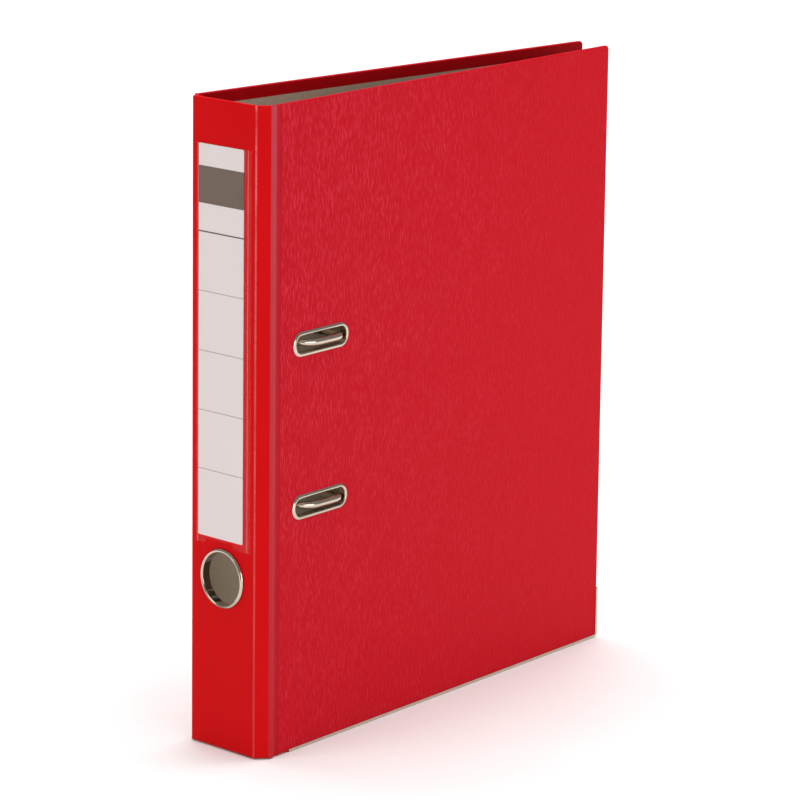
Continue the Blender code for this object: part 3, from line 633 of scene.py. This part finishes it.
# How far a fold's flat runs lie over its panels, and how far the bead's run reaches
FOLD_LAP = 0.05 * MM
BEAD_RUN = 0.45 * MM
folds = (
    ("back_cover_fold", "back_cover_crease", "back_cover", "back_strip", back_turn,
     SPINE_BEND, 1.0),
    ("back_spine_fold", "back_spine_crease", "back_strip", "spine", strip_turn,
     SPINE_BEND, 1.0),
    ("front_spine_fold", "front_spine_crease", "spine", "front_strip", strip_turn,
     SPINE_BEND, 1.0),
    ("front_cover_fold", "front_cover_crease", "front_strip", "front_cover", front_turn,
     COVER_BEND, BEAD_SHARE),
)
for name, crease, first, second, turn, bend, share in folds:
    fold = film_fold(name, turn, bend, FOLD_LAP, BEAD_RUN if share < 1 else FOLD_LAP, share)
    smooth_edges(fold)
    fold.rotation_euler = (0, 0, panels[first][1])
    fold.location = (crease_at(crease).x, crease_at(crease).y, 0)
    bpy.ops.object.transform_apply(location=True, rotation=True, scale=True)
    # The front cover's bead takes the ridge's painted sheen, the other folds the creases' painted
    # highlight.
    material = ridge_film_painted_sheen if bend == COVER_BEND else creased_film_painted_highlight
    fold.data.materials.clear()
    fold.data.materials.append(material)
    heading = panels[first][1] + turn / 2
    way = Vector((math.cos(heading), math.sin(heading), 0)) * bend * math.sin(turn / 2)
    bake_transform(fold)


# ------------------------------------------------ boards and lining
# The panels are 1.85 mm grey board, and a grey-beige paper lines the inside between the film's
# turned edges. At each crease the lining bridges the gap that opens between two panels.

# Lining paper, uncoated and made from mixed fibre: fibres 1 mm long and darker specks.
lining_paper = new_material("uncoated_mixed_fibre_lining_paper")
lining_place = add(lining_paper, "ShaderNodeTexCoord")
lining_fibre = add(lining_paper, "ShaderNodeTexNoise", {"Scale": 1000.0, "Detail": 4.0},
                   {"Vector": lining_place.outputs["Object"]})
lining_speck = add(lining_paper, "ShaderNodeTexVoronoi", {"Scale": 320.0},
                   {"Vector": lining_place.outputs["Object"]})
lining_dark = add(lining_paper, "ShaderNodeMapRange",
                  {"From Min": 0.10, "From Max": 0.2, "To Min": 0.35, "To Max": 1.0},
                  {"Value": lining_speck.outputs["Distance"]})
lining_tone = add(lining_paper, "ShaderNodeMath", links={
    0: lining_fibre.outputs["Fac"], 1: lining_dark.outputs["Result"]}, operation="MULTIPLY")
lining_bump = add(lining_paper, "ShaderNodeBump", {"Strength": 0.25, "Distance": 0.05 * MM},
                  {"Height": lining_fibre.outputs["Fac"]})
shade(lining_paper, {"Roughness": 0.8, "Specular IOR Level": 0.3},
      {"Base Color": mix_colours(lining_paper, "8f8070", "b3a38f", lining_tone.outputs["Value"]),
       "Normal": lining_bump.outputs["Normal"]})

# Grey board, pressed from waste paper: soft grey with layered fibre about 0.5 mm thick.
grey_board = new_material("pressed_grey_board")
board_place = add(grey_board, "ShaderNodeTexCoord")
board_fibre = add(grey_board, "ShaderNodeTexNoise", {"Scale": 1600.0, "Detail": 5.0},
                  {"Vector": board_place.outputs["Object"]})
board_bump = add(grey_board, "ShaderNodeBump", {"Strength": 0.4, "Distance": 0.1 * MM},
                 {"Height": board_fibre.outputs["Fac"]})
shade(grey_board, {"Roughness": 0.92, "Specular IOR Level": 0.2},
      {"Base Color": mix_colours(grey_board, "6f675c", "9b9283", board_fibre.outputs["Fac"]),
       "Normal": board_bump.outputs["Normal"]})


def repaint(node_name, material):
    """Gives a node of the frame a finished material."""
    for slot in frame["nodes"][node_name].material_slots:
        slot.material = material


for panel in panels:
    repaint(panel + "_board", grey_board)
    repaint(panel + "_lining", lining_paper)

LINING_PROUD = 0.04 * MM
LINING_RUN = 2.2 * MM
LINING_THICK = 0.12 * MM
LINING_BLEND = LINING_RUN * 0.8
for name, crease, first, second, turn, bend, share in folds:
    # The strip is drawn in the first panel's frame: in along its inner face, round the corner
    corner = Vector((-math.sin(turn / 2), math.cos(turn / 2), 0)) * (
        (PANEL + LINING_PROUD) / math.cos(turn / 2))
    strip = upright_sheet(name.replace("fold", "lining_fold"), corner.x - LINING_RUN / 2, corner.y,
                          LINING_RUN, foot + EDGE_ROUND, head - EDGE_ROUND)
    bpy.ops.object.mode_set(mode="EDIT")
    for z in (foot + TURN_IN, head - TURN_IN):
        bpy.ops.mesh.select_all(action="SELECT")
        bpy.ops.mesh.bisect(plane_co=(0, 0, z), plane_no=(0, 0, 1))
    for column in (0.25, 0.5, 0.75):
        bpy.ops.mesh.select_all(action="SELECT")
        bpy.ops.mesh.bisect(plane_co=(corner.x - LINING_RUN * column, 0, 0), plane_no=(1, 0, 0))
    pick(strip, "EDGE", lambda edge: all(abs(v.co.x - corner.x) < 0.001 * MM for v in edge.verts))
    step = Vector((math.cos(turn), math.sin(turn), 0)) * LINING_RUN / 4
    for _ in range(4):
        bpy.ops.mesh.extrude_region_move(TRANSFORM_OT_translate={"value": step})
    bpy.ops.object.mode_set(mode="OBJECT")
    strip.data.materials.append(lining_paper)
    strip.data.materials.append(smooth_film)
    for face in strip.data.polygons:
        face.material_index = 0 if foot + TURN_IN < face.center.z < head - TURN_IN else 1
    apply_modifier(strip, "SOLIDIFY", thickness=LINING_THICK, offset=-1, use_even_offset=True)
    strip.rotation_euler = (0, 0, panels[first][1])
    strip.location = (crease_at(crease).x, crease_at(crease).y, 0)
    bpy.ops.object.transform_apply(location=True, rotation=True, scale=True)
    heading = panels[first][1] + turn / 2
    way = Vector((math.cos(heading), math.sin(heading), 0)) * LINING_BLEND
    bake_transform(strip)


# ------------------------------------------------ pressed steel: ring, eyelets, edge protectors
# The thumb ring is a rolled steel bead clinched through the spine. The two slot eyelets are
# pressed round the slots of the front cover, and a folded channel guards each cover's foot.

# Nickel plate over pressed steel: bright and warm, with fine drawing lines 0.3 mm apart.
bright_nickel = new_material("bright_nickel_plated_steel")
nickel_place = add(bright_nickel, "ShaderNodeTexCoord")
nickel_lines = add(bright_nickel, "ShaderNodeTexNoise", {"Scale": 700.0, "Detail": 2.0},
                   {"Vector": nickel_place.outputs["Object"]})
nickel_gloss = add(bright_nickel, "ShaderNodeMapRange", {"To Min": 0.12, "To Max": 0.24},
                   {"Value": nickel_lines.outputs["Fac"]})
nickel_bump = add(bright_nickel, "ShaderNodeBump", {"Strength": 0.05, "Distance": 0.05 * MM},
                  {"Height": nickel_lines.outputs["Fac"]})
shade(bright_nickel, {"Metallic": 1.0},
      {"Base Color": mix_colours(bright_nickel, "b9ab97", "d8cebf", nickel_lines.outputs["Fac"]),
       "Roughness": nickel_gloss.outputs["Result"], "Normal": nickel_bump.outputs["Normal"]})


TIP_OVER = (-math.pi / 2, 0, 0)


def turned(name, profile, segments):
    """A closed turned shape: a circle carried along a profile of radii and depths, tipped over.

    Depths run along Z as it is drawn, and along the panel's depth once it is tipped over.
    """
    deselect()
    bpy.ops.mesh.primitive_circle_add(vertices=segments, radius=profile[0][0],
                                      location=(0, 0, profile[0][1]),
                                      rotation=(0, 0, math.pi / segments))
    piece = bpy.context.object
    piece.name = name
    bpy.ops.object.transform_apply(location=True, rotation=True, scale=True)
    bpy.ops.object.mode_set(mode="EDIT")
    bpy.ops.mesh.select_all(action="SELECT")
    for (radius, level), (next_radius, next_level) in zip(profile, profile[1:]):
        bpy.ops.mesh.extrude_edges_move(
            TRANSFORM_OT_translate={"value": (0, 0, next_level - level)})
        grow = next_radius / radius
        bpy.ops.transform.resize(value=(grow, grow, 1), center_override=(0, 0, next_level))
    pick(piece, "EDGE", lambda edge: len(edge.link_faces) == 1)
    bpy.ops.mesh.bridge_edge_loops()
    bpy.ops.mesh.select_all(action="SELECT")
    bpy.ops.mesh.normals_make_consistent(inside=False)
    bpy.ops.object.mode_set(mode="OBJECT")
    select_only(piece)
    piece.rotation_euler = TIP_OVER
    bpy.ops.object.transform_apply(location=True, rotation=True, scale=True)
    return piece


# The ring's sheet runs down its barrel and rolls over at its face, from profile point to point
RING_OUTER = 14.75 * MM
RING_SHEET = 0.45 * MM
RING_BACK = PANEL + 0.7 * MM
bead = [(RING_CLEAR, RING_BACK), (RING_CLEAR, -0.7 * MM), (RING_CLEAR + 0.08 * MM, -1.05 * MM),
        (RING_CLEAR + 0.3 * MM, -1.35 * MM), (RING_CLEAR + 0.65 * MM, -1.52 * MM),
        (RING_CLEAR + 1.05 * MM, -1.58 * MM), (RING_OUTER - 0.75 * MM, -1.45 * MM),
        (RING_OUTER - 0.35 * MM, -1.15 * MM), (RING_OUTER - 0.08 * MM, -0.75 * MM),
        (RING_OUTER, -0.4 * MM), (RING_OUTER - 0.12 * MM, -0.1 * MM),
        (RING_OUTER - 0.4 * MM, -0.08 * MM), (RING_CLEAR + RING_SHEET, -0.08 * MM),
        (RING_CLEAR + RING_SHEET, RING_BACK)]
thumb_ring = turned("thumb_ring_bead", bead, 96)
CLINCH_IN = RING_CLEAR + 0.55 * MM
CLINCH_OUT = RING_OUTER - 0.35 * MM
clinch = [(CLINCH_IN, PANEL + 0.1 * MM), (CLINCH_OUT, PANEL + 0.1 * MM),
          (CLINCH_OUT, PANEL + 0.35 * MM), (CLINCH_OUT - 0.3 * MM, PANEL + 0.6 * MM),
          (CLINCH_OUT - 0.6 * MM, RING_BACK), (CLINCH_IN, RING_BACK)]
thumb_washer = turned("thumb_ring_clinch", clinch, 96)
for piece, node_name in ((thumb_ring, "thumb_ring"), (thumb_washer, "thumb_ring_washer")):
    select_only(piece)
    piece.location = (ring_x, 0, ring_z)
    bpy.ops.object.transform_apply(location=True, rotation=True, scale=True)
    smooth_edges(piece, 50)
    lay_on(piece, "spine")
    dress(piece, bright_nickel, "spine")
    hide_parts(node_name)

EYELET_RIM = 1.9 * MM
slot_radius = SLOT_WIDTH / 2
pressed_rim = [(slot_radius, PANEL + 0.5 * MM), (slot_radius, -0.25 * MM),
               (slot_radius + 0.12 * MM, -0.55 * MM), (slot_radius + 0.4 * MM, -0.78 * MM),
               (slot_radius + 0.8 * MM, -0.82 * MM), (slot_radius + 1.3 * MM, -0.7 * MM),
               (slot_radius + 1.7 * MM, -0.45 * MM), (slot_radius + EYELET_RIM, -0.12 * MM),
               (slot_radius + EYELET_RIM - 0.3 * MM, -0.08 * MM),
               (slot_radius + 0.6 * MM, -0.06 * MM),
               (slot_radius + EYELET_SHEET, 0.2 * MM),
               (slot_radius + EYELET_SHEET, PANEL + 0.1 * MM),
               (slot_radius + 1.4 * MM, PANEL + 0.1 * MM),
               (slot_radius + 1.5 * MM, PANEL + 0.3 * MM),
               (slot_radius + 1.3 * MM, PANEL + 0.5 * MM)]
slot_straight = SLOT_LENGTH - SLOT_WIDTH
for name, node_name, slot_z in (("lower_slot_eyelet", "slot_eyelet_lower", slot_low_z),
                                ("upper_slot_eyelet", "slot_eyelet_upper", slot_high_z)):
    eyelet = turned(name, pressed_rim, 64)
    bpy.ops.object.mode_set(mode="EDIT")
    for way in (-1, 1):
        pick(eyelet, "VERT", lambda vertex: vertex.co.x * way > 0)
        bpy.ops.transform.translate(value=(way * slot_straight / 2, 0, 0))
    bpy.ops.mesh.select_all(action="SELECT")
    bpy.ops.transform.translate(value=(SLOT_MIDDLE, 0, slot_z))
    bpy.ops.object.mode_set(mode="OBJECT")
    smooth_edges(eyelet, 50)
    lay_on(eyelet, "front_cover")
    dress(eyelet, bright_nickel, "front_cover")
    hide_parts(node_name)


def soften(node_name, name, width):
    """A merged copy of a node of the frame, its sharp edges rolled over by width unless it is 0."""
    select_only(frame["nodes"][node_name])
    bpy.ops.object.duplicate()
    piece = bpy.context.object
    piece.parent = None
    piece.name = name
    bpy.ops.object.mode_set(mode="EDIT")
    bpy.ops.mesh.select_all(action="SELECT")
    bpy.ops.mesh.remove_doubles(threshold=0.002 * MM)
    if width:
        bpy.ops.mesh.dissolve_limited(angle_limit=math.radians(1))
    bpy.ops.object.mode_set(mode="OBJECT")
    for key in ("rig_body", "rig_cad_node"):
        if key in piece:
            del piece[key]
    if width:
        apply_modifier(piece, "BEVEL", width=width, segments=2, limit_method="ANGLE",
                       angle_limit=math.radians(35))
    smooth_edges(piece)
    return piece


for side in ("front", "back"):
    rail = soften(side + "_edge_protector", side + "_folded_edge_channel", 0.1 * MM)
    dress(rail, bright_nickel, side + "_cover")
    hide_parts(side + "_edge_protector")


# ------------------------------------------------ label pocket and card
# A clear pocket is welded to the spine along its sides and foot, with a thumb notch at its foot
# and its head left open. A printed card with ruled fields stands in it.

# Printed card: uncoated white stock with a dark heading band and fine grey rules.
printed_card = new_material("offset_printed_label_card")
card_place = add(printed_card, "ShaderNodeTexCoord")
card_split = add(printed_card, "ShaderNodeSeparateXYZ",
                 links={"Vector": card_place.outputs["Object"]})
card_fibre = add(printed_card, "ShaderNodeTexNoise", {"Scale": 1400.0, "Detail": 3.0},
                 {"Vector": card_place.outputs["Object"]})
card_colour = mix_colours(printed_card, "dfd6d4", "e6dddb", card_fibre.outputs["Fac"])
BAND_MIDDLE, BAND_HALF = 276.6, 9.0
# Each printed line is a height and half of its thickness, in millimetres, and an ink
printed_lines = [(BAND_MIDDLE, BAND_HALF, "6b5a4f"), (254.0, 0.35, "5d504a"),
                 (225.2, 0.16, "8d8683"), (196.2, 0.16, "8d8683"), (167.1, 0.16, "8d8683"),
                 (138.2, 0.16, "8d8683")]
for line_height, half, ink in printed_lines:
    inked = add(printed_card, "ShaderNodeMath", {1: line_height * MM, 2: half * MM},
                {0: card_split.outputs["Z"]}, operation="COMPARE")
    line = add(printed_card, "ShaderNodeMix", links={"Factor": inked.outputs["Value"]},
               data_type="RGBA")
    printed_card.node_tree.links.new(card_colour, line.inputs[6])
    line.inputs[7].default_value = linear(ink)
    card_colour = line.outputs[2]
shade(printed_card, {"Roughness": 0.6, "Specular IOR Level": 0.3}, {"Base Color": card_colour})
repaint("label_card", printed_card)

# Clear film, cast and glossy: a faint haze in thin patches about 15 mm across.
clear_film = new_material("cast_clear_polypropylene_film")
clear_place = add(clear_film, "ShaderNodeTexCoord")
clear_haze = add(clear_film, "ShaderNodeTexNoise", {"Scale": 70.0, "Detail": 2.0},
                 {"Vector": clear_place.outputs["Object"]})
clear_alpha = add(clear_film, "ShaderNodeMapRange", {"To Min": 0.004, "To Max": 0.02},
                  {"Value": clear_haze.outputs["Fac"]})
shade(clear_film, {"Base Color": linear("f4ecec"), "Roughness": 0.12, "IOR": 1.49},
      {"Alpha": clear_alpha.outputs["Result"]})

# The same film where a heated bar has welded it: a row of pale dashes 1.3 mm apart.
welded_film = new_material("heat_welded_polypropylene_seam")
weld_place = add(welded_film, "ShaderNodeTexCoord")
# A wave texture turns through 20 radians for each unit of its scale and of length
WELD_PITCH = 1.3 * MM
weld_dashes = add(welded_film, "ShaderNodeTexWave",
                  {"Scale": 2 * math.pi / (20 * WELD_PITCH), "Distortion": 1.5, "Detail": 1.0,
                   "Detail Scale": 2.0},
                  {"Vector": weld_place.outputs["Object"]}, bands_direction="Z")
weld_alpha = add(welded_film, "ShaderNodeMapRange", {"To Min": 0.0, "To Max": 0.6},
                 {"Value": weld_dashes.outputs["Fac"]})
weld_bump = add(welded_film, "ShaderNodeBump", {"Strength": 0.5, "Distance": 0.15 * MM},
                {"Height": weld_dashes.outputs["Fac"]})
shade(welded_film, {"Base Color": linear("f2a9a6"), "Roughness": 0.3, "IOR": 1.49},
      {"Alpha": weld_alpha.outputs["Result"], "Normal": weld_bump.outputs["Normal"]})

pocket_low, pocket_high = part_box("label_pocket")
card_low, card_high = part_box("label_card")
spine_face = crease_at("back_spine_crease").y
POCKET_LIFT = 0.6 * MM
POCKET_PRESSED = 0.14 * MM
WELD_WIDTH = 0.45 * MM
pocket = upright_sheet("label_pocket_film", (pocket_low.x + pocket_high.x) / 2,
                       spine_face - POCKET_LIFT, pocket_high.x - pocket_low.x,
                       pocket_low.z, pocket_high.z)
bpy.ops.object.mode_set(mode="EDIT")
left_weld = card_low.x - 0.5 * MM
right_weld = card_high.x + 2.5 * MM
foot_weld = card_low.z - 0.6 * MM
notch_left, notch_right = pocket_low.x + 7.3 * MM, pocket_low.x + 26.6 * MM
notch_top = pocket_low.z + 3.2 * MM
for x in (left_weld - WELD_WIDTH, left_weld, left_weld + 0.5 * MM, notch_left, notch_right,
          right_weld - 0.6 * MM, right_weld, right_weld + WELD_WIDTH):
    bpy.ops.mesh.select_all(action="SELECT")
    bpy.ops.mesh.bisect(plane_co=(x, 0, 0), plane_no=(1, 0, 0))
for z in (pocket_low.z + 0.6 * MM, notch_top - 0.7 * MM, notch_top, foot_weld + 0.5 * MM):
    bpy.ops.mesh.select_all(action="SELECT")
    bpy.ops.mesh.bisect(plane_co=(0, 0, z), plane_no=(0, 0, 1))
pick(pocket, "FACE", lambda face: notch_left < middle(face).x < notch_right
     and middle(face).z < notch_top - 0.7 * MM)
bpy.ops.mesh.delete(type="FACE")
pick(pocket, "VERT", lambda vertex: vertex.co.x < left_weld + 0.1 * MM
     or vertex.co.x > right_weld - 0.1 * MM or vertex.co.z < notch_top + 0.1 * MM)
bpy.ops.transform.translate(value=(0, POCKET_LIFT - POCKET_PRESSED, 0))
bpy.ops.object.mode_set(mode="OBJECT")
pocket.data.materials.append(clear_film)
pocket.data.materials.append(welded_film)
for face in pocket.data.polygons:
    x, z = face.center.x, face.center.z
    welded = (left_weld - WELD_WIDTH < x < left_weld or right_weld < x < right_weld + WELD_WIDTH)
    face.material_index = 1 if welded else 0
apply_modifier(pocket, "SOLIDIFY", thickness=0.1 * MM, offset=-1, use_even_offset=True)
smooth_edges(pocket)
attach(pocket, "spine")
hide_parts("label_pocket")


# ------------------------------------------------ lever arch mechanism
# A pressed base plate is riveted to the back cover. Two posts stand on it, one bent steel wire
# makes both arches and the crank between them, and the lever presses the crank by a roller.

wire = soften("arch_wire", "bent_arch_wire", 0)
bpy.ops.object.mode_set(mode="EDIT")
bpy.ops.mesh.select_all(action="SELECT")
bpy.ops.mesh.tris_convert_to_quads()
bpy.ops.transform.shrink_fatten(value=0.05 * MM)
bpy.ops.object.mode_set(mode="OBJECT")
apply_modifier(wire, "SUBSURF", levels=2, render_levels=2)
bpy.ops.object.shade_smooth()
dress(wire, bright_nickel, "arches")
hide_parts("arch_wire")

# Moulded nylon, satin from the tool: warm white with a soft mould bloom 4 mm across.
moulded_nylon = new_material("moulded_satin_nylon")
nylon_place = add(moulded_nylon, "ShaderNodeTexCoord")
nylon_bloom = add(moulded_nylon, "ShaderNodeTexNoise", {"Scale": 250.0, "Detail": 2.0},
                  {"Vector": nylon_place.outputs["Object"]})
shade(moulded_nylon, {"Roughness": 0.4, "IOR": 1.53, "Subsurface Weight": 0.1},
      {"Base Color": mix_colours(moulded_nylon, "d9d7cd", "e6e4da", nylon_bloom.outputs["Fac"])})

mechanism = [("mechanism_base_plate", "pressed_base_plate", "back_cover", 0.15 * MM),
             ("post_lower", "lower_post_tube", "back_cover", 0.15 * MM),
             ("post_upper", "upper_post_tube", "back_cover", 0.15 * MM),
             ("lever_pivot_pin", "lever_pivot_rivet", "back_cover", 0.15 * MM),
             ("lever", "pressed_lever", "lever", 0.2 * MM),
             ("roller_pin", "roller_rivet", "lever", 0.12 * MM),
             ("lever_roller", "nylon_roller", "roller", 0.2 * MM)]
mechanism += [("mechanism_rivet_" + str(number), "base_plate_rivet_" + str(number), "back_cover",
               0.15 * MM) for number in (1, 2, 3, 4)]
for node_name, name, body, width in mechanism:
    piece = soften(node_name, name, width)
    nylon = node_name == "lever_roller"
    dress(piece, moulded_nylon if nylon else bright_nickel, body)
    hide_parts(node_name)
